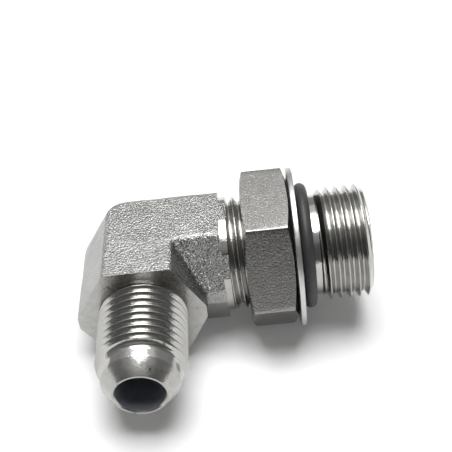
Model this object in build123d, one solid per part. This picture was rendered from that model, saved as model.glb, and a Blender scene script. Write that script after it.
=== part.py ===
"""Adjustable 90 degree elbow fitting, in millimetres, +Z up.

The origin is where the axes of the two drilled passages cross. The stud end points along +X and carries a
locknut, a back-up washer and an O-ring. The flare end points along -Y and ends in a 37 degree cone. Both
threads are plain cylinders of their outside diameter, as on a drawing, with their real end chamfers.
"""

from build123d import *
import math
import os

# Forging: an L-shaped blank pressed in two dies that meet in the parting band
INNER_HALF_WIDTH = 10.2  # from a passage's axis to the parting band, inside the L
OUTER_HALF_WIDTH = 10.6  # the same on the outside of the L
TOP_FLAT = 9.4  # height of the flat on top, above the passages' axes
BOTTOM_FLAT = 9.4  # depth of the flat underneath
BAND_ABOVE = 0.9  # how far the parting band reaches above and below the axes
BAND_BELOW = 1.6
INNER_DRAFT = 28.5
OUTER_DRAFT = 32.5
OUTER_CORNER_RADIUS = 8.5
FLAT_EDGE_RADIUS = 1.0
VALLEY_RADIUS = 0.8
FLARE_LEG = 12.95  # machined end of each leg, from the origin
STUD_LEG = 13.4

# Flare end: 9/16-18 thread and a 37 degree seat
FLARE_THREAD_RADIUS = 14.2875 / 2
FLARE_THREAD_END = 25.3
FLARE_THREAD_CHAMFER = 1.0
FLARE_RUN_IN = 1.0  # how far the turned thread reaches back into the leg
FLARE_PILOT_DEPTH = 1.04  # under the thread's outside diameter
FLARE_CONE_START = 26.86
FLARE_CONE_ANGLE = 37.0
FLARE_LENGTH = 29.31
FLARE_BORE_RADIUS = 3.8
FLARE_LIP = 0.15

# Stud end: 3/4-16 thread in two lengths, with a plain groove between them
STUD_THREAD_RADIUS = 19.05 / 2
COLLAR_HEIGHT = 0.075  # over the thread's outside diameter
COLLAR_END = 14.63
LOCK_THREAD_LENGTH = 7.67
GROOVE_DEPTH = 1.075  # under the thread's outside diameter
PORT_THREAD_LENGTH = 8.45
STUD_TIP_CHAMFER = 0.85
STUD_TIP_DEPTH = 1.355
STUD_BORE_RADIUS = 4.95
STUD_BORE_MOUTH_RADIUS = 6.2
STUD_BORE_MOUTH_DEPTH = 1.25
STUD_BORE_BOTTOM = -3.0
DRILL_POINT_ANGLE = 118.0

# Locknut, 24 mm across its flats
NUT_OVERHANG = 2.6  # how far it stands out over the groove, with the washer against it
NUT_THICKNESS = 7.7
NUT_CLEARANCE = 0.05
NUT_WALL = 2.425  # from its bore to a flat
NUT_CHAMFER_ANGLE = 17.0
NUT_TURN = 5.6  # how far round its corners stand, from +Y towards +Z
NUT_MOUTH_CHAMFER = 0.6

# Back-up washer, dished so that its rim stands off the locknut
WASHER_CLEARANCE = 0.08
WASHER_THICKNESS = 0.85
WASHER_DISH = 0.35
WASHER_SEAT_WIDTH = 2.27  # the flat part that lies on the locknut
WASHER_SLOPE_WIDTH = 1.32
WASHER_RIM_WIDTH = 1.3
WASHER_EDGE_CHAMFER = 0.15

# O-ring in the groove
RING_CORD_RADIUS = 1.09
RING_CLEARANCE = 0.02
RING_TO_WASHER = 0.42
RING_TO_THREAD = 1.0

# Radii that follow from the threads
FLARE_CONE_RADIUS = FLARE_THREAD_RADIUS - FLARE_PILOT_DEPTH
COLLAR_RADIUS = STUD_THREAD_RADIUS + COLLAR_HEIGHT
GROOVE_RADIUS = STUD_THREAD_RADIUS - GROOVE_DEPTH
STUD_TIP_RADIUS = STUD_THREAD_RADIUS - STUD_TIP_DEPTH

# Places along the stud, from the origin
GROOVE_START = COLLAR_END + LOCK_THREAD_LENGTH
NUT_FACE = GROOVE_START + NUT_OVERHANG
RING_CENTRE = NUT_FACE + WASHER_THICKNESS + RING_TO_WASHER + RING_CORD_RADIUS
GROOVE_END = RING_CENTRE + RING_CORD_RADIUS + RING_TO_THREAD
STUD_LENGTH = GROOVE_END + PORT_THREAD_LENGTH


def turned_stud(points):
    """A solid turned about X: a closed outline of (distance along +X, radius) points."""
    outline = make_face(Polyline(*points, close=True))
    return revolve(outline, Axis.X, 360)


def turned_flare(points):
    """A solid turned about Y: a closed outline of (distance along -Y, radius) points."""
    outline = make_face(Polyline(*[(radius, -along) for along, radius in points], close=True))
    return revolve(outline, Axis.Y, 360)


def drafted_plate(left, right, front, back, depth, draft, corner_radius=0.0):
    """A block between two X and two Y limits, drawn in upwards by the draft; its back left corner may be round."""
    outline = Pos((left + right) / 2, (front + back) / 2) * Rectangle(right - left, back - front)
    if corner_radius:
        back_left = outline.vertices().sort_by(Axis.X)[:2].sort_by(Axis.Y)[-1]
        outline = fillet(back_left, corner_radius)
    return extrude(outline, amount=depth, taper=draft)


def die_half(depth):
    """The L of both legs in one die, standing on the XY plane.

    The die's outer wall gives the outside of the L with its round corner. Two inner walls meet in the valley.
    """
    beyond = STUD_LEG + FLARE_LEG + depth
    inner, outer = INNER_HALF_WIDTH, OUTER_HALF_WIDTH
    outside = drafted_plate(-outer, beyond, -beyond, outer, depth, OUTER_DRAFT, OUTER_CORNER_RADIUS)
    stud_leg = drafted_plate(-beyond, beyond, -inner, beyond, depth, INNER_DRAFT)
    flare_leg = drafted_plate(-beyond, inner, -beyond, beyond, depth, INNER_DRAFT)
    half = outside & (stud_leg + flare_leg)
    return fillet(half.edges().filter_by(lambda e: on_inner_diagonal(e.center())), VALLEY_RADIUS)


def blank():
    """The forging as it leaves the dies: an upper and a lower half on a straight parting band."""
    upper = Pos(0, 0, BAND_ABOVE) * die_half(TOP_FLAT - BAND_ABOVE)
    lower = Pos(0, 0, -BAND_BELOW) * mirror(die_half(BOTTOM_FLAT - BAND_BELOW), about=Plane.XY)
    band = extrude(upper.faces().sort_by(Axis.Z)[0], amount=BAND_ABOVE + BAND_BELOW, dir=(0, 0, -1))
    forging = upper + band + lower
    by_height = forging.edges().group_by(Axis.Z)
    return fillet(by_height[0] + by_height[-1], FLAT_EDGE_RADIUS)


def on_inner_diagonal(point):
    """True on the line through the inner corner of the L, where the two legs' sides meet."""
    return point.X > 0 and abs(point.X + point.Y) < 0.01


def machined_blank():
    """The forging with both leg ends faced off, and the stud leg's round collar turned out of it.

    The collar is wider than the forging's flats and slants are far from the axis, so the forged skin runs on
    over the middle of each of them, and the turned surface shows only at the corners between.
    """
    forging = blank()
    reach = 3 * (STUD_LENGTH + FLARE_LENGTH)
    legs = Pos((STUD_LEG - reach / 2), (reach / 2 - FLARE_LEG), 0) * Box(reach, reach, reach)
    collar = turned_stud([(0, 0), (0, COLLAR_RADIUS), (COLLAR_END, COLLAR_RADIUS), (COLLAR_END, 0)])
    return (forging & legs) + (forging & collar)


def stud():
    """The turned stud: a length of thread for the locknut, the plain groove, and the port's own thread."""
    thread_chamfer = STUD_THREAD_RADIUS - GROOVE_RADIUS
    return turned_stud([
        (0, 0),
        (0, GROOVE_RADIUS),
        (COLLAR_END, GROOVE_RADIUS),
        (COLLAR_END, STUD_THREAD_RADIUS),
        (GROOVE_START - thread_chamfer, STUD_THREAD_RADIUS),
        (GROOVE_START, GROOVE_RADIUS),
        (GROOVE_END, GROOVE_RADIUS),
        (GROOVE_END + thread_chamfer, STUD_THREAD_RADIUS),
        (STUD_LENGTH - STUD_TIP_CHAMFER, STUD_THREAD_RADIUS),
        (STUD_LENGTH, STUD_TIP_RADIUS),
        (STUD_LENGTH, 0),
    ])


def flare_end():
    """The turned flare end: its thread, a short pilot and the cone that seals."""
    cone_length = FLARE_LENGTH - FLARE_CONE_START
    nose_radius = FLARE_CONE_RADIUS - cone_length * math.tan(math.radians(FLARE_CONE_ANGLE))
    return turned_flare([
        (0, 0),
        (0, FLARE_CONE_RADIUS),
        (FLARE_LEG - FLARE_RUN_IN, FLARE_CONE_RADIUS),
        (FLARE_LEG - FLARE_RUN_IN, FLARE_THREAD_RADIUS),
        (FLARE_THREAD_END - FLARE_THREAD_CHAMFER, FLARE_THREAD_RADIUS),
        (FLARE_THREAD_END, FLARE_CONE_RADIUS),
        (FLARE_CONE_START, FLARE_CONE_RADIUS),
        (FLARE_LENGTH, nose_radius),
        (FLARE_LENGTH, 0),
    ])


def drill_point(radius):
    """Length of the cone that a drill of this radius leaves at the bottom of its hole."""
    return radius / math.tan(math.radians(DRILL_POINT_ANGLE / 2))


def stud_passage():
    """The hole drilled in from the stud end, with its countersunk mouth and the drill's point at the bottom."""
    return turned_stud([
        (STUD_BORE_BOTTOM - drill_point(STUD_BORE_RADIUS), 0),
        (STUD_BORE_BOTTOM, STUD_BORE_RADIUS),
        (STUD_LENGTH - STUD_BORE_MOUTH_DEPTH, STUD_BORE_RADIUS),
        (STUD_LENGTH, STUD_BORE_MOUTH_RADIUS),
        (STUD_LENGTH + 1, STUD_BORE_MOUTH_RADIUS),
        (STUD_LENGTH + 1, 0),
    ])


def flare_passage():
    """The hole drilled in from the flare end until it meets the other one."""
    return turned_flare([
        (-drill_point(FLARE_BORE_RADIUS), 0),
        (0, FLARE_BORE_RADIUS),
        (FLARE_LENGTH - FLARE_LIP, FLARE_BORE_RADIUS),
        (FLARE_LENGTH, FLARE_BORE_RADIUS + FLARE_LIP),
        (FLARE_LENGTH + 1, FLARE_BORE_RADIUS + FLARE_LIP),
        (FLARE_LENGTH + 1, 0),
    ])


def elbow_body():
    """The forging and its two turned ends are one piece, with the two passages drilled through them."""
    return machined_blank() + stud() + flare_end() - stud_passage() - flare_passage()


def locknut():
    """Hexagon nut on the stud's inner thread, with its corners turned back on both faces."""
    back = NUT_FACE - NUT_THICKNESS
    bore = STUD_THREAD_RADIUS + NUT_CLEARANCE
    flat_radius = bore + NUT_WALL
    corner_radius = flat_radius / math.cos(math.radians(30))
    drop = (corner_radius - flat_radius) * math.tan(math.radians(NUT_CHAMFER_ANGLE))
    turned = turned_stud([
        (back, 0),
        (back, flat_radius),
        (back + drop, corner_radius),
        (NUT_FACE - drop, corner_radius),
        (NUT_FACE, flat_radius),
        (NUT_FACE, 0),
    ])
    hole = turned_stud([
        (back, 0),
        (back, bore + NUT_MOUTH_CHAMFER),
        (back + NUT_MOUTH_CHAMFER, bore),
        (NUT_FACE - NUT_MOUTH_CHAMFER, bore),
        (NUT_FACE, bore + NUT_MOUTH_CHAMFER),
        (NUT_FACE, 0),
    ])
    across_the_stud = Plane(origin=(back, 0, 0), x_dir=(0, 1, 0), z_dir=(1, 0, 0))
    hexagon = Rot(0, 0, NUT_TURN) * RegularPolygon(flat_radius, 6, major_radius=False)
    return (extrude(across_the_stud * hexagon, amount=NUT_THICKNESS) & turned) - hole


def backup_washer():
    """Thin pressed ring: flat where it lies on the locknut, then dished out to a flat rim."""
    bore = GROOVE_RADIUS + WASHER_CLEARANCE
    seat = bore + WASHER_SEAT_WIDTH
    rim = seat + WASHER_SLOPE_WIDTH
    edge = rim + WASHER_RIM_WIDTH
    near_side = [
        (NUT_FACE, bore),
        (NUT_FACE, seat),
        (NUT_FACE + WASHER_DISH, rim),
        (NUT_FACE + WASHER_DISH, edge),
    ]
    far_side = [(along + WASHER_THICKNESS, radius) for along, radius in reversed(near_side)]
    washer = turned_stud(near_side + far_side)
    rim_edges = washer.edges().filter_by(GeomType.CIRCLE).filter_by(lambda e: e.radius > edge - 0.01)
    return chamfer(rim_edges, WASHER_EDGE_CHAMFER)


def o_ring():
    """Round rubber ring in the groove, a little way off the washer."""
    ring_radius = GROOVE_RADIUS + RING_CLEARANCE + RING_CORD_RADIUS
    return Pos(RING_CENTRE, 0, 0) * Rot(0, 90, 0) * Torus(ring_radius, RING_CORD_RADIUS)


def main():
    os.makedirs("parts", exist_ok=True)
    for piece in (elbow_body, locknut, backup_washer, o_ring):
        export_step(piece(), f"parts/{piece.__name__}.step")


if __name__ == "__main__":
    main()
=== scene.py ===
# %% [markdown]
# # An adjustable 90 degree elbow fitting
#
# A small steel fitting from a hydraulic line: an L-shaped forging with two turned and threaded ends, and
# on the longer end a locknut, a dished washer and an O-ring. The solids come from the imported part, where
# every thread is still a plain cylinder. This lesson gives them their threads, their forged skin and
# their finish.

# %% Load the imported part
import math

import bmesh
import bpy
from mathutils import Matrix, Vector, noise


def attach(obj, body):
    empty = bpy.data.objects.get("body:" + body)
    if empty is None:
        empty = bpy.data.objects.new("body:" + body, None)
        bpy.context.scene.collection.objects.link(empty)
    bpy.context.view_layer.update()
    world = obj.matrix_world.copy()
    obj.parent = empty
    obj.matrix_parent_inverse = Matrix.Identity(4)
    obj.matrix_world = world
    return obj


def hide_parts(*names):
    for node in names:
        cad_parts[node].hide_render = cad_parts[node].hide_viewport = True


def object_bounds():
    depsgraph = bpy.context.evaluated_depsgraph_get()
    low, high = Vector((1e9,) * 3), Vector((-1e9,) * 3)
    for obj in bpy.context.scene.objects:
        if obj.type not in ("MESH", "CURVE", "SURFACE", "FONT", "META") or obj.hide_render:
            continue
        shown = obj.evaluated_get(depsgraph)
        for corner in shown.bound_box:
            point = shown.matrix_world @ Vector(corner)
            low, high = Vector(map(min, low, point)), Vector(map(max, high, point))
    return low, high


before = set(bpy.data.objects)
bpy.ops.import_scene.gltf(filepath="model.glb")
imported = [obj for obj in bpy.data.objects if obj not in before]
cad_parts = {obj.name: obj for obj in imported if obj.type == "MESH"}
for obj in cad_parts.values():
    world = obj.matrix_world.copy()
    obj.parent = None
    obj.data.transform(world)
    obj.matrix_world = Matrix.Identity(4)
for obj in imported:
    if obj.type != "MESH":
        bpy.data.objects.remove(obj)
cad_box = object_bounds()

# %% [markdown]
# ## Working in millimetres
#
# Everything on this fitting is a few millimetres wide. Blender's own unit is the metre, so the shapes are
# drawn in millimetres, where the numbers are easy to read and cuts are exact, and each finished piece is
# brought down to metres in one last step. A shape lives in a bmesh while it is drawn, and in an object
# while modifiers cut it. The fitting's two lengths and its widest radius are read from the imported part.

# %% Units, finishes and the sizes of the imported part
MM = 0.001
ALL_ROUND = 2 * math.pi
SKIN, TURNED, FACED, DRILLED = range(4)  # the finishes of a piece, by material index

STUD_LENGTH = round(cad_box[1][0] / MM, 2)
FLARE_LENGTH = round(-cad_box[0][1] / MM, 2)
WASHER_EDGE = round(cad_box[1][2] / MM, 2)
print("stud end:", STUD_LENGTH, "flare end:", FLARE_LENGTH, "washer radius:", WASHER_EDGE)


# %% From a drawn shape to an object and back
def on_bench(bm, name):
    """Put a drawn shape in the scene as an object, still in millimetres."""
    mesh = bpy.data.meshes.new(name)
    bm.to_mesh(mesh)
    bm.free()
    piece = bpy.data.objects.new(name, mesh)
    bpy.context.scene.collection.objects.link(piece)
    return piece


def settle(piece):
    """Make a piece's modifiers part of its mesh."""
    shown = piece.evaluated_get(bpy.context.evaluated_depsgraph_get())
    settled = bpy.data.meshes.new_from_object(shown)
    drawn = piece.data
    piece.modifiers.clear()
    piece.data = settled
    bpy.data.meshes.remove(drawn)


def carve(piece, tool, operation):
    """Cut a piece with a tool, join the two, or keep what they share. The tool is used up."""
    step = piece.modifiers.new("carve", "BOOLEAN")
    step.operation = operation
    step.solver = "MANIFOLD"
    step.object = tool
    settle(piece)
    bpy.data.objects.remove(tool)


# %% Small steps on a drawn shape
MERGE = 1e-3  # points nearer than this are one point


def crop(bm, co, no):
    """Cut a drawn shape with a plane and drop what lies beyond it."""
    bmesh.ops.bisect_plane(
        bm, geom=bm.verts[:] + bm.edges[:] + bm.faces[:], dist=1e-5,
        plane_co=co, plane_no=no, clear_outer=True,
    )


def close_up(bm):
    """Cap the open rims of a drawn shape and turn its faces outwards."""
    bmesh.ops.holes_fill(bm, edges=[e for e in bm.edges if e.is_boundary], sides=0)
    bmesh.ops.recalc_face_normals(bm, faces=bm.faces)


def points_of(geom):
    """The vertices in what an operator returned."""
    return [item for item in geom if isinstance(item, bmesh.types.BMVert)]


def mark(faces, finish):
    """Give faces the index of a finish."""
    for face in faces:
        face.material_index = finish


# %% [markdown]
# ## Turned shapes
#
# A lathe makes a round shape by following an outline. Blender's spin operator does the same: a few points
# give the distance along the axis and the radius, and the outline goes once round. All turned shapes here
# are drawn along +X. Those of the flare end are then turned a quarter, so that +X becomes -Y.

# %% Spin an outline into a solid
QUARTER_TO_FLARE = Matrix.Rotation(-math.pi / 2, 4, "Z")


def turned(outline, steps=128, finish=TURNED):
    """A solid of revolution about X, from points of (distance along X, radius).

    An outline that starts off the axis closes on itself, which makes a ring.
    """
    bm = bmesh.new()
    corners = [bm.verts.new((along, radius, 0)) for along, radius in outline]
    closed = outline[0][1] > 0
    ends = corners[1:] + corners[:1] if closed else corners[1:]
    for a, b in zip(corners, ends):
        bm.edges.new((a, b))
    bmesh.ops.spin(
        bm, geom=bm.verts[:] + bm.edges[:], cent=(0, 0, 0), axis=(1, 0, 0), dvec=(0, 0, 0),
        angle=ALL_ROUND, steps=steps, use_merge=True, use_duplicate=False,
    )
    bmesh.ops.remove_doubles(bm, verts=bm.verts, dist=1e-4)
    bmesh.ops.recalc_face_normals(bm, faces=bm.faces)
    mark(bm.faces, finish)
    return bm


# %% [markdown]
# ## Threads
#
# A thread is a groove that climbs one pitch in each turn. Spin takes a shift for each step, so one pitch
# of the groove's outline, spun with a shift along the axis, gives the true helix, and each turn meets the
# next edge to edge. One turn is spun and the others are copies of it, which is much quicker. The rod is
# made too long, cut square at both ends and closed, and later crossed with the turned outline, which
# gives the chamfers and necks as a lathe would.

# %% Spin one pitch of thread into a rod
STEPS_PER_TURN = 96
CREST_TO_ROOT = [  # how far along and how deep, both in pitches: flat crest, 60 degree flank, round root
    (0.02, 0.0), (0.052, 0.013), (0.08, 0.042), (0.374, 0.54), (0.405, 0.58), (0.44, 0.603), (0.5, 0.613),
]
THREAD_OUTLINE = [(-along, deep) for along, deep in reversed(CREST_TO_ROOT)] + CREST_TO_ROOT


def threaded_rod(pitch, radius, crest, start, end, clearance=0.0):
    """A right-hand thread along X, with a crest at this distance where it passes +Y."""
    first = crest - pitch * (math.ceil((crest - start) / pitch) + 2)
    turns = math.ceil((end - first) / pitch) + 1
    bm = bmesh.new()
    points = [bm.verts.new((first + along * pitch, radius + clearance - deep * pitch, 0))
              for along, deep in THREAD_OUTLINE]
    for a, b in zip(points, points[1:]):
        bm.edges.new((a, b))
    bmesh.ops.spin(
        bm, geom=bm.verts[:] + bm.edges[:], cent=(0, 0, 0), axis=(1, 0, 0),
        dvec=(pitch / STEPS_PER_TURN, 0, 0), angle=ALL_ROUND, steps=STEPS_PER_TURN,
        use_merge=False, use_duplicate=False,
    )
    one_turn = bm.verts[:] + bm.edges[:] + bm.faces[:]
    for turn in range(1, turns):
        copy = bmesh.ops.duplicate(bm, geom=one_turn)["geom"]
        bmesh.ops.translate(bm, vec=(pitch * turn, 0, 0), verts=points_of(copy))
    bmesh.ops.remove_doubles(bm, verts=bm.verts, dist=MERGE)
    for where, outwards in ((start, -1), (end, 1)):
        crop(bm, (where, 0, 0), (outwards, 0, 0))
    close_up(bm)
    mark(bm.faces, TURNED)
    return bm


# %% [markdown]
# ## The forging
#
# The L was pressed red hot between two dies, so it has slanting sides, rounded edges, a parting band half
# way up and a rough scaled skin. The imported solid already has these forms. A copy of it loses its turned
# ends and passages, and its legs are drawn out beyond their real length, which leaves the blank as it was
# before the lathe. The passages are found by their place: near an axis, and not beyond the points of the
# drills.

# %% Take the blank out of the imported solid
CUT_STUD, CUT_FLARE = 12.4, 12.0  # where the turned ends come off
NEAR_STUD, NEAR_FLARE = 5.6, 5.2  # a little more than each passage's radius
STUD_DRILL_POINT, FLARE_DRILL_POINT = -6.2, 2.6  # a little beyond each drill's point
LEG_RESERVE = 8.0


def in_passage(point):
    """True on the wall of either drilled hole."""
    in_stud = point.x > STUD_DRILL_POINT and math.hypot(point.y, point.z) < NEAR_STUD
    in_flare = point.y < FLARE_DRILL_POINT and math.hypot(point.x, point.z) < NEAR_FLARE
    return in_stud or in_flare


bm = bmesh.new()
bm.from_mesh(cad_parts["elbow_body"].data)
bmesh.ops.scale(bm, vec=(1 / MM,) * 3, verts=bm.verts)
bmesh.ops.remove_doubles(bm, verts=bm.verts, dist=MERGE)
crop(bm, (CUT_STUD, 0, 0), (1, 0, 0))
crop(bm, (0, -CUT_FLARE, 0), (0, -1, 0))
holes = [f for f in bm.faces if in_passage(f.calc_center_median())]
bmesh.ops.delete(bm, geom=holes, context="FACES")
rims = [e for e in bm.edges if e.is_boundary]
drawn_out = bmesh.ops.extrude_edge_only(bm, edges=rims)["geom"]
for vert in points_of(drawn_out):
    on_stud = vert.co.x > CUT_STUD - MERGE
    vert.co += Vector((LEG_RESERVE, 0, 0)) if on_stud else Vector((0, -LEG_RESERVE, 0))
close_up(bm)
open_edges = sum(not edge.is_manifold for edge in bm.edges)
forging = on_bench(bm, "forging")
print("blank:", len(forging.data.polygons), "faces,", open_edges, "open edges")

# %% [markdown]
# ## Its scaled skin
#
# A bump in the material can't change the outline, so the larger unevenness is real shape. A voxel remesh
# gives the blank an even grid of small faces, and each point moves a little along its normal: waves a few
# millimetres wide where the scale lay thick, and pits of less than a millimetre from the shot that
# cleaned it.

# %% Give it an even grid and rough it
SKIN_GRID = 0.19
WAVE_WIDTH, WAVE_DEPTH = 3.5, 0.05
PIT_WIDTH, PIT_DEPTH = 0.8, 0.025
OTHER_PART = Vector((40, 0, 0))  # so that the pits don't follow the waves

step = forging.modifiers.new("grid", "REMESH")
step.mode = "VOXEL"
step.voxel_size = SKIN_GRID
settle(forging)

bm = bmesh.new()
bm.from_mesh(forging.data)
bmesh.ops.smooth_vert(bm, verts=bm.verts, factor=0.5, use_axis_x=True, use_axis_y=True, use_axis_z=True)
bm.normal_update()
moves = []
for vert in bm.verts:
    wave = noise.noise(vert.co / WAVE_WIDTH)
    pit = noise.noise(vert.co / PIT_WIDTH + OTHER_PART)
    moves.append(vert.normal * (WAVE_DEPTH * wave + PIT_DEPTH * pit))
for vert, move in zip(bm.verts, moves):
    vert.co += move
bm.to_mesh(forging.data)
bm.free()
print("skin:", len(forging.data.polygons), "faces")

# %% [markdown]
# ## Facing the legs and turning the collar
#
# A lathe then faced each leg off square and turned a round collar where the stud begins. The collar is
# wider than the forging's flats, so the forged skin runs on over the middle of each flat, and the turned
# surface shows only at the corners between. Crossing the blank with one tool, a block joined to a
# cylinder, leaves exactly that, and the faces that the tool cut keep the tool's own finish.

# %% Cross the blank with the lathe's shape
STUD_LEG, FLARE_LEG = 13.4, 12.95  # where each leg is faced off
COLLAR_RADIUS, COLLAR_END, COLLAR_EDGE = 9.6, 14.63, 0.12
BLOCK = 60.0  # larger than the blank

bm = bmesh.new()
bmesh.ops.create_cube(bm, size=BLOCK)
bmesh.ops.translate(bm, vec=(STUD_LEG - BLOCK / 2, BLOCK / 2 - FLARE_LEG, 0), verts=bm.verts)
mark(bm.faces, TURNED)
lathe = on_bench(bm, "lathe")
collar = on_bench(turned([
    (0, 0), (0, COLLAR_RADIUS), (COLLAR_END - COLLAR_EDGE, COLLAR_RADIUS),
    (COLLAR_END, COLLAR_RADIUS - COLLAR_EDGE), (COLLAR_END, 0),
], steps=180), "collar")
carve(lathe, collar, "UNION")
carve(forging, lathe, "INTERSECT")
print("faced:", len(forging.data.polygons), "faces")

# %% [markdown]
# ## The two drilled passages
#
# Each end is drilled along its axis until the holes meet at the corner. The drills leave a 118 degree
# point. The same two cutters go through the forging and through the turned ends, so the bores line up.
# Their mouths are turned bright, and the holes behind them stay dark.

# %% Draw the drills
STUD_BORE, STUD_BORE_BOTTOM = 4.95, -3.0
STUD_MOUTH, STUD_MOUTH_DEPTH = 6.2, 1.25
FLARE_BORE = 3.8
LIP_WIDTH, LIP_DEPTH, LIP_TOOL = 0.18, 0.22, 1.8  # the tool is wider by this much past the end
DRILL_SLOPE = math.tan(math.radians(118 / 2))
PAST_END = 2.0  # how far a drill stands out of the piece
BRIGHT = 0.05  # a mouth's faces all lie at least this far beyond its start
SQUARE_ON = 0.9  # a normal with this much of it along an axis faces that way


def mark_mouth(bm, start):
    """A drill's outer stretch leaves a turned surface."""
    mark([f for f in bm.faces if f.calc_center_median().x > start + BRIGHT], TURNED)


def stud_drill():
    """The hole from the stud end, with its countersunk mouth."""
    mouth_start = STUD_LENGTH - STUD_MOUTH_DEPTH
    bm = turned([
        (STUD_BORE_BOTTOM - STUD_BORE / DRILL_SLOPE, 0), (STUD_BORE_BOTTOM, STUD_BORE),
        (mouth_start, STUD_BORE), (STUD_LENGTH, STUD_MOUTH),
        (STUD_LENGTH + PAST_END, STUD_MOUTH + PAST_END), (STUD_LENGTH + PAST_END, 0),
    ], finish=DRILLED)
    mark_mouth(bm, mouth_start)
    return on_bench(bm, "stud_drill")


def flare_drill():
    """The hole from the flare end, with the narrow lip that the cone ends in."""
    lip_start = FLARE_LENGTH - LIP_DEPTH
    bm = turned([
        (-FLARE_BORE / DRILL_SLOPE, 0), (0, FLARE_BORE), (lip_start, FLARE_BORE),
        (FLARE_LENGTH, FLARE_BORE + LIP_WIDTH),
        (FLARE_LENGTH + PAST_END, FLARE_BORE + LIP_TOOL), (FLARE_LENGTH + PAST_END, 0),
    ], finish=DRILLED)
    mark_mouth(bm, lip_start)
    bmesh.ops.transform(bm, matrix=QUARTER_TO_FLARE, verts=bm.verts)
    return on_bench(bm, "flare_drill")


carve(forging, stud_drill(), "DIFFERENCE")
carve(forging, flare_drill(), "DIFFERENCE")
turned_faces = [f for f in forging.data.polygons if f.material_index == TURNED]
to_flare = [f for f in turned_faces if f.normal.y < -SQUARE_ON]
mark(to_flare, FACED)
print("drilled:", len(forging.data.polygons), "faces,", len(to_flare), "on the face round the flare end")

# %% [markdown]
# ## The stud
#
# The stud has one thread cut in two lengths: the locknut runs on the inner one, and the outer one screws
# into the port. A plain groove between them holds the O-ring. The rod is crossed with the stud's turned
# outline. The outline is wider than the crests, and comes down only where a lathe would have cut: to the
# groove, with a slope at each side, and to the tip's chamfer.

# %% Thread, neck and chamfer the stud
STUD_PITCH, STUD_RADIUS = 1.5875, 9.525
STUD_CREST = 29.80
STUD_ROOT, STUD_OUTLINE_START = 14.2, 13.0  # both inside the collar
GROOVE_START, GROOVE_END, GROOVE_RADIUS = 22.3, 29.35, 8.45
TIP_LENGTH, TIP_RADIUS = 0.85, 8.17
CLEAR_OF_CREST = 9.9

rod = threaded_rod(STUD_PITCH, STUD_RADIUS, STUD_CREST, STUD_ROOT, STUD_LENGTH)
stud = on_bench(rod, "stud_thread")
rise = CLEAR_OF_CREST - GROOVE_RADIUS
tip_slope = TIP_LENGTH / (STUD_RADIUS - TIP_RADIUS)
carve(stud, on_bench(turned([
    (STUD_OUTLINE_START, 0), (STUD_OUTLINE_START, CLEAR_OF_CREST), (GROOVE_START - rise, CLEAR_OF_CREST),
    (GROOVE_START, GROOVE_RADIUS), (GROOVE_END, GROOVE_RADIUS), (GROOVE_END + rise, CLEAR_OF_CREST),
    (STUD_LENGTH - tip_slope * (CLEAR_OF_CREST - TIP_RADIUS), CLEAR_OF_CREST), (STUD_LENGTH, TIP_RADIUS),
    (STUD_LENGTH, 0),
], steps=180), "stud_outline"), "INTERSECT")
carve(stud, stud_drill(), "DIFFERENCE")
print("stud:", len(stud.data.polygons), "faces")

# %% [markdown]
# ## The flare end
#
# A 37 degree cone seals against the flared tube, and the tube's nut pulls it tight on the thread behind.
# The shape is made as the stud was and turned a quarter. The thread ends in a rounded shoulder, which
# runs gently down to the plain pilot before the cone.

# %% Thread and cone
FLARE_PITCH, FLARE_RADIUS = 1.4111, 7.14375
FLARE_CREST = 12.877
FLARE_ROOT, FLARE_OUTLINE_START = 12.6, 12.0  # both inside the forged leg
SHOULDER = [(24.3, 7.5), (24.47, 7.1), (24.62, 6.68), (24.74, 6.56), (25.32, 6.24), (25.7, 6.13)]
PILOT_RADIUS, NOSE_RADIUS = 6.10375, 4.2576
CONE_START = 26.86
CONE_EDGE, NOSE_EDGE = 0.06, (0.05, 0.04)  # both edges of the cone are a little broken

rod = threaded_rod(FLARE_PITCH, FLARE_RADIUS, FLARE_CREST, FLARE_ROOT, FLARE_LENGTH)
flare = on_bench(rod, "flare_thread")
carve(flare, on_bench(turned([
    (FLARE_OUTLINE_START, 0), (FLARE_OUTLINE_START, SHOULDER[0][1]), *SHOULDER,
    (CONE_START - 0.1, PILOT_RADIUS), (CONE_START + CONE_EDGE, PILOT_RADIUS - CONE_EDGE),
    (FLARE_LENGTH - NOSE_EDGE[0], NOSE_RADIUS + NOSE_EDGE[1]), (FLARE_LENGTH, NOSE_RADIUS),
    (FLARE_LENGTH, 0),
], steps=144), "flare_outline"), "INTERSECT")
flare.data.transform(QUARTER_TO_FLARE)
carve(flare, flare_drill(), "DIFFERENCE")
turned_faces = [f for f in flare.data.polygons if f.material_index == TURNED]
on_cone = [f for f in turned_faces if f.center.y < -CONE_START]
mark(on_cone, FACED)
print("flare end:", len(flare.data.polygons), "faces,", len(on_cone), "on the cone")

# %% [markdown]
# ## The locknut
#
# A hexagon bar, cut off and chamfered on both faces, so that its corners end in shallow arcs. A hexagonal
# prism crossed with a turned double cone gives the arcs. The hexagon is drawn lying flat, so the prism is
# stood along X and then turned as the nut lies on the real fitting.

# %% Chamfered hexagon
NUT_BACK, NUT_FACE = 17.2, 24.9
NUT_FLAT = 12.0
NUT_CORNER = NUT_FLAT / math.cos(math.radians(30))
NUT_TURN = math.radians(5.6 - 30)  # create_circle starts half a side further on
NUT_EDGE = 0.12
ALONG_X = Matrix(((0, 0, 1, 0), (1, 0, 0, 0), (0, 1, 0, 0), (0, 0, 0, 1)))

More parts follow.
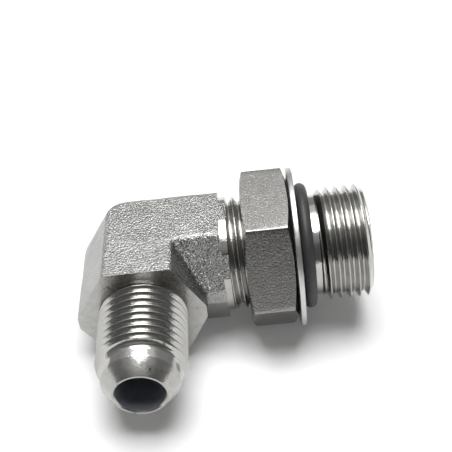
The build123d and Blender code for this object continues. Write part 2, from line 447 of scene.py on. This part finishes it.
bm = bmesh.new()
bmesh.ops.create_circle(bm, cap_ends=True, segments=6, radius=NUT_CORNER)
prism = bmesh.ops.extrude_face_region(bm, geom=bm.faces[:])["geom"]
bmesh.ops.translate(bm, vec=(0, 0, NUT_FACE - NUT_BACK), verts=points_of(prism))
stand = Matrix.Translation((NUT_BACK, 0, 0)) @ Matrix.Rotation(NUT_TURN, 4, "X") @ ALONG_X
bmesh.ops.transform(bm, matrix=stand, verts=bm.verts)
bmesh.ops.recalc_face_normals(bm, faces=bm.faces)
long_edges = [e for e in bm.edges if abs(e.verts[0].co.x - e.verts[1].co.x) > MERGE]
bmesh.ops.bevel(
    bm, geom=long_edges, offset=NUT_EDGE, offset_type="OFFSET", affect="EDGES", segments=3, profile=0.5,
    material=-1,
)
angles = sorted(math.degrees(math.atan2(v.co.z, v.co.y)) % 60 for v in bm.verts)
print("nut corners at", round(angles[0], 2), "to", round(angles[-1], 2), "degrees")
nut = on_bench(bm, "locknut_hex")

CHAMFER_SLOPE = math.tan(math.radians(17))
CHAMFER_INNER, CHAMFER_OUTER = NUT_FLAT - 0.1, NUT_CORNER + 0.5
drop = (CHAMFER_OUTER - CHAMFER_INNER) * CHAMFER_SLOPE
carve(nut, on_bench(turned([
    (NUT_BACK, 0), (NUT_BACK, CHAMFER_INNER), (NUT_BACK + drop, CHAMFER_OUTER),
    (NUT_FACE - drop, CHAMFER_OUTER), (NUT_FACE, CHAMFER_INNER), (NUT_FACE, 0),
], steps=180, finish=SKIN), "nut_outline"), "INTERSECT")

# %% [markdown]
# ## The nut's thread
#
# The bore is cut by a rod with the stud's own pitch and crest, only a little wider, so the nut can be
# wound along the stud without touching it. Two cones joined to the rod open the mouths of the bore.

# %% Cut the threaded bore
THREAD_CLEARANCE = 0.05
ROD_START, ROD_END = 16.0, 26.0  # both outside the nut
MOUTH_WIDER = 0.6
CONE_OUT, CONE_IN = 1.0, 2.5  # how far a mouth's cone reaches out of the nut and into it

rod = threaded_rod(STUD_PITCH, STUD_RADIUS, STUD_CREST, ROD_START, ROD_END, THREAD_CLEARANCE)
bore = on_bench(rod, "nut_bore")
mouth = STUD_RADIUS + THREAD_CLEARANCE + MOUTH_WIDER
for face_at, out in ((NUT_BACK, -1), (NUT_FACE, 1)):
    wide_end, narrow_end = face_at + CONE_OUT * out, face_at - CONE_IN * out
    cone = turned([
        (wide_end, 0), (wide_end, mouth + CONE_OUT), (narrow_end, mouth - CONE_IN), (narrow_end, 0),
    ], steps=120)
    carve(bore, on_bench(cone, "mouth"), "UNION")
carve(nut, bore, "DIFFERENCE")
print("nut:", len(nut.data.polygons), "faces")

# %% [markdown]
# ## The dished washer
#
# The washer is pressed from sheet: flat where it lies on the nut, then dished out to a flat rim, with
# edges that the press rounded. Its section has the same line twice, one thickness apart, so that line is
# written once.

# %% Spin the washer
WASHER_BORE, WASHER_SEAT, WASHER_RIM = 8.53, 10.8, 12.12
WASHER_THICKNESS, WASHER_DISH = 0.85, 0.35
BEND, BEND_RISE = 0.12, 0.03  # the soft start of a bend, along the radius and along X
BREAK = 0.05  # the bore's broken edges
ROUND, ROUND_MIDDLE = 0.13, 0.04  # the rim's rounded edges

pressed = [
    (0, WASHER_BORE + BREAK), (0, WASHER_SEAT), (BEND_RISE, WASHER_SEAT + BEND),
    (WASHER_DISH - BEND_RISE, WASHER_RIM - BEND), (WASHER_DISH, WASHER_RIM),
    (WASHER_DISH, WASHER_EDGE - ROUND),
]
near_rim, far_rim = WASHER_DISH, WASHER_DISH + WASHER_THICKNESS
edge = [
    (near_rim + ROUND_MIDDLE, WASHER_EDGE - ROUND_MIDDLE), (near_rim + ROUND, WASHER_EDGE),
    (far_rim - ROUND, WASHER_EDGE), (far_rim - ROUND_MIDDLE, WASHER_EDGE - ROUND_MIDDLE),
]
far_side = [(along + WASHER_THICKNESS, radius) for along, radius in reversed(pressed)]
bore_wall = [(WASHER_THICKNESS - BREAK, WASHER_BORE), (BREAK, WASHER_BORE)]
section = [(NUT_FACE + along, radius) for along, radius in pressed + edge + far_side + bore_wall]
washer = on_bench(turned(section, steps=200, finish=SKIN), "washer_dished")
print("washer:", len(section), "points in its section,", len(washer.data.polygons), "faces")

# %% [markdown]
# ## The O-ring
#
# The O-ring is moulded in two halves, which leaves a fine line round its outside and its inside. Its
# section is a circle, and two opposite points of it stand out by the height of that line.

# %% Spin the O-ring
RING_CENTRE, RING_RADIUS, CORD_RADIUS = 27.26, 9.56, 1.09
FLASH = 0.035
CORD_STEPS = 28

section = []
for k in range(CORD_STEPS):
    turn = ALL_ROUND * k / CORD_STEPS
    stands = CORD_RADIUS if k % (CORD_STEPS // 2) == 0 else CORD_RADIUS - FLASH
    section.append((RING_CENTRE + stands * math.sin(turn), RING_RADIUS + stands * math.cos(turn)))
ring = on_bench(turned(section, steps=180, finish=SKIN), "ring_moulded")
print("ring:", len(ring.data.polygons), "faces")

# %% [markdown]
# ## Bringing the pieces down to size
#
# Each finished piece is scaled to metres in its mesh, its object stays at the origin, and only edges
# where two surfaces meet at a clear angle stay sharp. The threads ride on the elbow as the forging does.
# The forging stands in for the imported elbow, and the nut, the washer and the ring for their own packed
# solids.

# %% Scale, shade and seat the pieces
def finish_piece(piece, body, node, sharp_degrees):
    """Bring a piece down to metres, shade it, and say what it rides on and what it replaces."""
    piece.data.transform(Matrix.Scale(MM, 4))
    piece.data.shade_smooth()
    piece.data.set_sharp_from_angle(angle=math.radians(sharp_degrees))
    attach(piece, body)
    if node:
        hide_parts(node)
    print(piece.name, "rides on", body, "with", len(piece.data.polygons), "faces")


finish_piece(forging, "elbow", "elbow_body", 40)
finish_piece(stud, "elbow", None, 35)
finish_piece(flare, "elbow", None, 35)
finish_piece(nut, "nut", "locknut", 20)
finish_piece(washer, "washer", "backup_washer", 35)
finish_piece(ring, "elbow", "o_ring", 60)

# %% [markdown]
# ## Finishes
#
# Bare metal shows mostly what stands round it, so a finish is a matter of roughness and fine relief.
# Every pattern reads Object coordinates, so it stays on its piece when the piece moves. The helpers below
# only save typing: they add nodes with their settings and give back the socket that the next node reads.

# %% Node helpers
def add(tree, kind, **settings):
    """A node with its own settings and the values of its named sockets."""
    node = tree.nodes.new(kind)
    for name, value in settings.items():
        if hasattr(node, name):
            setattr(node, name, value)
        else:
            node.inputs[name.replace("_", " ")].default_value = value
    return node


def new_finish(name, metallic=1.0):
    """A material with its tree, its shader and its coordinates."""
    material = bpy.data.materials.new(name)
    material.use_nodes = True
    tree = material.node_tree
    shader = tree.nodes["Principled BSDF"]
    shader.inputs["Metallic"].default_value = metallic
    return material, tree, shader, add(tree, "ShaderNodeTexCoord")


def grain(tree, place, width, detail=3.0, rough=0.6):
    """Noise whose features are about this many millimetres wide."""
    node = add(tree, "ShaderNodeTexNoise", Scale=1 / (width * MM), Detail=detail, Roughness=rough)
    tree.links.new(place.outputs["Object"], node.inputs["Vector"])
    return node.outputs["Fac"]


def ramp(tree, value, stops):
    """Turn a value into a colour or a level, through stops of (position, grey or colour)."""
    node = add(tree, "ShaderNodeValToRGB")
    while len(node.color_ramp.elements) < len(stops):
        node.color_ramp.elements.new(0.5)
    for element, (position, color) in zip(node.color_ramp.elements, stops):
        element.position = position
        element.color = (*color, 1) if isinstance(color, tuple) else (color, color, color, 1)
    tree.links.new(value, node.inputs["Fac"])
    return node.outputs["Color"]


def relief(tree, height, depth, under=None):
    """A bump of this depth in millimetres, on top of another one."""
    node = add(tree, "ShaderNodeBump", Strength=1.0, Distance=depth * MM)
    tree.links.new(height, node.inputs["Height"])
    if under:
        tree.links.new(under, node.inputs["Normal"])
    return node.outputs["Normal"]


# %% [markdown]
# ## Forged and shot-blasted skin
#
# The shot left the skin covered in tiny facets that sparkle. A painted speckle would stay still when the
# light moves, so the sparkle comes from two layers of relief, one as wide as a facet and one half that
# wide, on a fairly smooth metal.

# %% Make the forged finish
FACET, FACET_DEPTH = 0.36, 0.2
GRIT, GRIT_DEPTH = 0.18, 0.05

forged, tree, shader, place = new_finish("forged_skin")
facets = grain(tree, place, FACET, 2, 0.55)
grit = grain(tree, place, GRIT, 2)
tone = ramp(tree, grain(tree, place, 5.0), [(0.3, (0.31, 0.31, 0.302)), (0.7, (0.38, 0.38, 0.37))])
tree.links.new(tone, shader.inputs["Base Color"])
tree.links.new(ramp(tree, grit, [(0.35, 0.16), (0.65, 0.26)]), shader.inputs["Roughness"])
tree.links.new(relief(tree, grit, GRIT_DEPTH, relief(tree, facets, FACET_DEPTH)), shader.inputs["Normal"])
print("finish:", forged.name)

# %% [markdown]
# ## Turned steel
#
# A lathe tool leaves fine rings. They spread a highlight across themselves, which the shader's
# Anisotropic setting does when its Tangent runs across the rings. A ring's own direction is the axis
# crossed with the place on the piece, and the tangent is the surface normal crossed with that. The rings
# also stand up a little: noise in one dimension, read at the distance along the axis plus the radius,
# changes along a cylinder and on a flat face alike.

# %% Rings of a lathe tool
RING_WIDTH, RING_DEPTH = 0.3, 0.003
CHATTER_WIDTH, CHATTER_DEPTH = 0.4, 0.022


def two_sockets(tree, kind, operation, first, second):
    """A node that works on two sockets; a value in place of a socket is set on the node."""
    node = add(tree, kind, operation=operation)
    for where, given in enumerate((first, second)):
        if isinstance(given, tuple):
            node.inputs[where].default_value = given
        else:
            tree.links.new(given, node.inputs[where])
    return node


def lathe_rings(tree, place, axis, shader, anisotropic):
    """Spread the shader's highlights across the rings, and return the rings' relief."""
    spot, normal = place.outputs["Object"], place.outputs["Normal"]
    around = two_sockets(tree, "ShaderNodeVectorMath", "CROSS_PRODUCT", axis, spot).outputs[0]
    across = two_sockets(tree, "ShaderNodeVectorMath", "CROSS_PRODUCT", normal, around).outputs[0]
    in_world = add(tree, "ShaderNodeVectorTransform", vector_type="VECTOR",
                   convert_from="OBJECT", convert_to="WORLD")
    tree.links.new(across, in_world.inputs[0])
    tree.links.new(in_world.outputs[0], shader.inputs["Tangent"])
    shader.inputs["Anisotropic"].default_value = anisotropic
    radius = add(tree, "ShaderNodeVectorMath", operation="LENGTH")
    tree.links.new(around, radius.inputs[0])
    along = two_sockets(tree, "ShaderNodeVectorMath", "DOT_PRODUCT", axis, spot)
    path = two_sockets(tree, "ShaderNodeMath", "ADD", radius.outputs["Value"], along.outputs["Value"])
    rings = add(tree, "ShaderNodeTexNoise", noise_dimensions="1D", Scale=1 / (RING_WIDTH * MM), Detail=2.0)
    tree.links.new(path.outputs[0], rings.inputs["W"])
    return relief(tree, rings.outputs["Fac"], RING_DEPTH)


# %% Turned finishes for the stud, the flare thread and the cone
def turned_finish(name, axis, smooth, dull, anisotropic, tone_width, tone_stops):
    """Bare turned steel about an axis, between a smooth and a dull roughness."""
    material, tree, shader, place = new_finish(name)
    tree.links.new(ramp(tree, grain(tree, place, tone_width), tone_stops), shader.inputs["Base Color"])
    wear = ramp(tree, grain(tree, place, 0.5), [(0.35, smooth), (0.65, dull)])
    tree.links.new(wear, shader.inputs["Roughness"])
    rings = lathe_rings(tree, place, axis, shader, anisotropic)
    chatter = relief(tree, grain(tree, place, CHATTER_WIDTH), CHATTER_DEPTH, rings)
    tree.links.new(chatter, shader.inputs["Normal"])
    print("finish:", name)
    return material


ALONG_STUD, ALONG_FLARE = (1, 0, 0), (0, -1, 0)
EVEN = [(0.3, (0.38, 0.375, 0.357)), (0.7, (0.44, 0.437, 0.42))]
# Tone for the cone and the face round the flare end: random tone between two greys, and where the noise
# falls below about 0.3 a dark grey, which is painted shade of nicks that the mesh doesn't have.
TONE_AND_PAINTED_NICK_SHADE = [(0.27, (0.13, 0.13, 0.125)), (0.33, (0.36, 0.355, 0.34)), (0.7, (0.42, 0.417, 0.4))]

turned_stud = turned_finish(
    "turned_steel_stud", ALONG_STUD, smooth=0.13, dull=0.2, anisotropic=0.4,
    tone_width=3.0, tone_stops=EVEN)
turned_flare = turned_finish(
    "turned_steel_flare", ALONG_FLARE, smooth=0.14, dull=0.21, anisotropic=0.4,
    tone_width=3.0, tone_stops=EVEN)
# The cone's finish carries the painted shade of nicks in its tone.
turned_cone = turned_finish(
    "turned_steel_cone", ALONG_FLARE, smooth=0.2, dull=0.27, anisotropic=0.0,
    tone_width=0.9, tone_stops=TONE_AND_PAINTED_NICK_SHADE)

# %% [markdown]
# ## Plated steel and the dark bores
#
# The nut was drawn and the washer pressed, and both carry thin zinc, so they are more even than the
# forging: one fine speckle drives both the roughness and a slight relief. The drilled holes have an oily
# grey film that isn't bright metal, so the same recipe serves them without the metal.

# %% Make the plated finishes
def plated_finish(name, low, high, speckle_width, depth, smooth, dull, metallic=1.0):
    """An even surface between two tones, with a fine speckle."""
    material, tree, shader, place = new_finish(name, metallic)
    tone = ramp(tree, grain(tree, place, 2.0), [(0.3, low), (0.7, high)])
    tree.links.new(tone, shader.inputs["Base Color"])
    speckle = grain(tree, place, speckle_width)
    tree.links.new(ramp(tree, speckle, [(0.35, smooth), (0.65, dull)]), shader.inputs["Roughness"])
    tree.links.new(relief(tree, speckle, depth), shader.inputs["Normal"])
    print("finish:", name)
    return material


plated_nut = plated_finish(
    "nut_steel", low=(0.26, 0.256, 0.248), high=(0.305, 0.3, 0.29),
    speckle_width=0.3, depth=0.045, smooth=0.2, dull=0.28)
plated_washer = plated_finish(
    "washer_steel", low=(0.5, 0.498, 0.49), high=(0.58, 0.578, 0.57),
    speckle_width=0.5, depth=0.02, smooth=0.3, dull=0.4)
drilled = plated_finish(
    "drilled_bore", low=(0.19, 0.2, 0.225), high=(0.22, 0.23, 0.26),
    speckle_width=0.6, depth=0.02, smooth=0.5, dull=0.6, metallic=0.0)

# %% [markdown]
# ## Rubber
#
# The ring is black nitrile rubber with a satin moulded surface. It isn't metal, and its only marks are a
# faint unevenness in how it shines and a very fine grain.

# %% Make the rubber
rubber, tree, shader, place = new_finish("moulded_rubber", metallic=0.0)
shader.inputs["Base Color"].default_value = (0.03, 0.03, 0.032, 1)
tree.links.new(ramp(tree, grain(tree, place, 0.6), [(0.3, 0.42), (0.7, 0.6)]), shader.inputs["Roughness"])
tree.links.new(relief(tree, grain(tree, place, 0.15, 2), 0.01), shader.inputs["Normal"])
print("finish:", rubber.name)

# %% [markdown]
# ## Dressing the pieces
#
# Each piece takes its finishes in the order of the material indices that its faces were marked with. The
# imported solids, which the pieces stand in for, get the finish that most of them shows.


# %% Put the finishes on
def dress(piece, *finishes):
    """Fill a piece's material slots, the empty ones that a cut left as well."""
    slots = piece.data.materials
    for index, finish in enumerate(finishes):
        if index < len(slots):
            slots[index] = finish
        else:
            slots.append(finish)
    print(piece.name, "shows", len(finishes), "finishes")


dress(forging, forged, turned_stud, turned_cone, drilled)
dress(stud, turned_stud, turned_stud, turned_stud, drilled)
dress(flare, turned_flare, turned_flare, turned_cone, drilled)
dress(nut, plated_nut, turned_stud)
dress(washer, plated_washer)
dress(ring, rubber)
for name, finish in (("elbow_body", turned_stud), ("locknut", plated_nut), ("backup_washer", plated_washer),
                     ("o_ring", rubber)):
    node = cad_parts[name]
    node.data.materials.clear()
    node.data.materials.append(finish)

# %% [markdown]
# ## How it lies
#
# The fitting lies on the forging's bottom edge and on the washer's rim, so it is tilted a little against
# the floor. The part keeps its own axes, and the floor is tilted instead. Halving the range of tilts
# again and again finds the one at which both pieces are equally low.


# %% Find the floor that both touch
def lowest(piece, tilt):
    """How high the piece's lowest place is, measured square to a floor with this tilt."""
    up = Vector((math.sin(tilt), 0, math.cos(tilt)))
    return min(v.co.dot(up) for v in piece.data.vertices)


least, most = 0.0, math.radians(20)
while most - least > 1e-4:
    tilt = (least + most) / 2
    if lowest(forging, tilt) > lowest(washer, tilt):
        least = tilt
    else:
        most = tilt
floor_height = min(lowest(forging, tilt), lowest(washer, tilt))
floor_normal = Vector((math.sin(tilt), 0, math.cos(tilt)))
lie = Matrix.Rotation(tilt, 4, "Y")
print("floor tilted by", round(math.degrees(tilt), 2), "degrees,",
      round(-floor_height / MM, 2), "mm below the origin")

# %% [markdown]
# ## The white table
#
# The fitting lies on plain white paper under one large lamp. Paper keeps the object's shadow, so the
# table is a plain diffuse white. A faint glow lifts it to full white, more so the further it is from the
# fitting. Only rays that look at the table see that glow, from the camera, off metal or through glass, so
# it throws no light on the fitting.


# %% Helpers for the things round the fitting
def blank_tree(owner, output):
    """An empty node tree, and the socket of its output."""
    owner.use_nodes = True
    tree = owner.node_tree
    tree.nodes.clear()
    return tree, add(tree, output).inputs["Surface"]


def looking_rays(tree):
    """1 for a ray from the camera, off metal or through glass, and 0 for any other."""
    ray = add(tree, "ShaderNodeLightPath").outputs
    kind = "ShaderNodeMath"
    two = two_sockets(tree, kind, "MAXIMUM", ray["Is Camera Ray"], ray["Is Glossy Ray"])
    three = two_sockets(tree, kind, "MAXIMUM", two.outputs[0], ray["Is Transmission Ray"])
    return three.outputs[0]


# %% White table
TABLE_HALF = 3.0
PAPER = (0.92, 0.92, 0.92, 1)
WHITE = (1, 1, 1, 1)

bm = bmesh.new()
bmesh.ops.create_grid(bm, x_segments=1, y_segments=1, size=TABLE_HALF)
bmesh.ops.transform(bm, matrix=Matrix.Translation(floor_normal * floor_height) @ lie, verts=bm.verts)
table = on_bench(bm, "table")

white = bpy.data.materials.new("white_table")
tree, surface = blank_tree(white, "ShaderNodeOutputMaterial")
paper = add(tree, "ShaderNodeBsdfDiffuse", Color=PAPER)
glow = add(tree, "ShaderNodeEmission", Color=WHITE)
away = add(tree, "ShaderNodeVectorMath", operation="LENGTH")
tree.links.new(add(tree, "ShaderNodeTexCoord").outputs["Object"], away.inputs[0])
whiter = add(tree, "ShaderNodeMapRange", From_Min=0.03, From_Max=0.3, To_Min=0.08, To_Max=1.0)
tree.links.new(away.outputs["Value"], whiter.inputs["Value"])
level = two_sockets(tree, "ShaderNodeMath", "MULTIPLY", looking_rays(tree), whiter.outputs[0])
tree.links.new(level.outputs[0], glow.inputs["Strength"])
both = add(tree, "ShaderNodeAddShader")
tree.links.new(paper.outputs[0], both.inputs[0])
tree.links.new(glow.outputs[0], both.inputs[1])
tree.links.new(both.outputs[0], surface)
table.data.materials.append(white)
print("table:", 2 * TABLE_HALF, "m wide")

# %% [markdown]
# ## Dark cards
#
# Polished metal that mirrors only white looks flat. Photographers stand dark cards round it, and the dark
# band between the white table and the lamp draws its shape. Here the cards are one drum, cut slanting so
# that it stands higher in front than behind. It is darkest in front and lighter towards the back and the
# top. Only metal sees it: it is hidden from the camera and throws neither light nor shadow.

# %% Stand the cards round the fitting
CARD_RADIUS, CARD_HEIGHT = 0.60, 1.6
CARD_BEHIND, CARD_BEFORE = (math.tan(math.radians(angle)) for angle in (38, 68))

bm = bmesh.new()
bmesh.ops.create_cone(
    bm, cap_ends=False, segments=96, radius1=CARD_RADIUS, radius2=CARD_RADIUS, depth=CARD_HEIGHT,
)
bmesh.ops.translate(bm, vec=(0, 0, CARD_HEIGHT / 2 + floor_height), verts=bm.verts)
crop(bm, (0, 0, CARD_RADIUS * (CARD_BEHIND + CARD_BEFORE) / 2), (0, (CARD_BEFORE - CARD_BEHIND) / 2, 1))
bmesh.ops.transform(bm, matrix=lie, verts=bm.verts)
cards = on_bench(bm, "dark_cards")
cards.visible_camera = False
cards.visible_diffuse = False
cards.visible_shadow = False

dark = bpy.data.materials.new("dark_card")
tree, surface = blank_tree(dark, "ShaderNodeOutputMaterial")
glow = add(tree, "ShaderNodeEmission")
where = add(tree, "ShaderNodeSeparateXYZ")
tree.links.new(add(tree, "ShaderNodeTexCoord").outputs["Object"], where.inputs[0])
backwards = add(tree, "ShaderNodeMapRange", interpolation_type="SMOOTHSTEP",
                From_Min=-0.5, From_Max=0.25, To_Min=0.14, To_Max=0.42)
tree.links.new(where.outputs["Y"], backwards.inputs["Value"])
upwards = add(tree, "ShaderNodeMapRange", From_Min=0.45, From_Max=0.75, To_Min=0.0, To_Max=0.3)
tree.links.new(where.outputs["Z"], upwards.inputs["Value"])
level = two_sockets(tree, "ShaderNodeMath", "ADD", backwards.outputs[0], upwards.outputs[0])
tree.links.new(level.outputs[0], glow.inputs["Strength"])
tree.links.new(glow.outputs[0], surface)
cards.data.materials.append(dark)
print("cards:", len(cards.data.polygons), "sides")

# %% [markdown]
# ## Room and lamp
#
# The room is white to look at, and gives only a little light to fill the shadows. The one lamp is a soft
# disc almost straight above, large and near, so its shadows are short and lose their edge quickly. Its
# energy follows from its brightness and its size, so that the size can be changed without changing how
# bright it looks.

# %% White room
FILL = 0.1

world = bpy.data.worlds.new("white_room")
bpy.context.scene.world = world
tree, surface = blank_tree(world, "ShaderNodeOutputWorld")
room = add(tree, "ShaderNodeBackground", Color=WHITE)
level = add(tree, "ShaderNodeMapRange", To_Min=FILL, To_Max=1.0)
tree.links.new(looking_rays(tree), level.inputs["Value"])
tree.links.new(level.outputs[0], room.inputs["Strength"])
tree.links.new(room.outputs[0], surface)
print("room:", world.name)


# %% Lamp
def lamp(name, towards, distance, size, radiance):
    """A soft round lamp that looks at the fitting from this direction."""
    data = bpy.data.lights.new(name, "AREA")
    data.shape = "DISK"
    data.size = size
    data.energy = radiance * math.pi * math.pi * size * size / 4
    light = bpy.data.objects.new(name, data)
    bpy.context.scene.collection.objects.link(light)
    direction = lie @ Vector(towards).normalized()
    light.location = direction * distance
    light.rotation_euler = direction.to_track_quat("Z", "Y").to_euler()
    light.visible_camera = False
    print(name, "lamp of", round(data.energy, 1), "W")


lamp("overhead", towards=(-0.05, 0.06, 1.0), distance=0.64, size=0.5, radiance=8.6)

# %% [markdown]
# ## Camera
#
# The viewpoint was solved from edges of the fitting whose sizes are known: about 16 cm away, looking down
# at about 40 degrees, with a lens that is long for so near a view.

# %% Set the camera
CAMERA_AT = Vector((20.547, -118.381, 106.044)) * MM
LOOK = Vector((-0.03957, 0.76332, -0.64481))
RIGHT = Vector((0.99388, -0.03657, -0.10428))
SENSOR, FOCAL_LENGTH = 36.0, 74.21

lens = bpy.data.cameras.new("camera")
lens.sensor_width = SENSOR
lens.lens = FOCAL_LENGTH
lens.clip_start = 0.01
camera = bpy.data.objects.new("camera", lens)
bpy.context.scene.collection.objects.link(camera)
facing = Matrix((RIGHT, RIGHT.cross(LOOK), -LOOK)).transposed().to_4x4()
camera.matrix_world = Matrix.Translation(CAMERA_AT) @ facing
bpy.context.scene.camera = camera
bpy.context.scene.view_settings.view_transform = "Standard"
print("camera:", round(CAMERA_AT.length / MM), "mm from the origin")
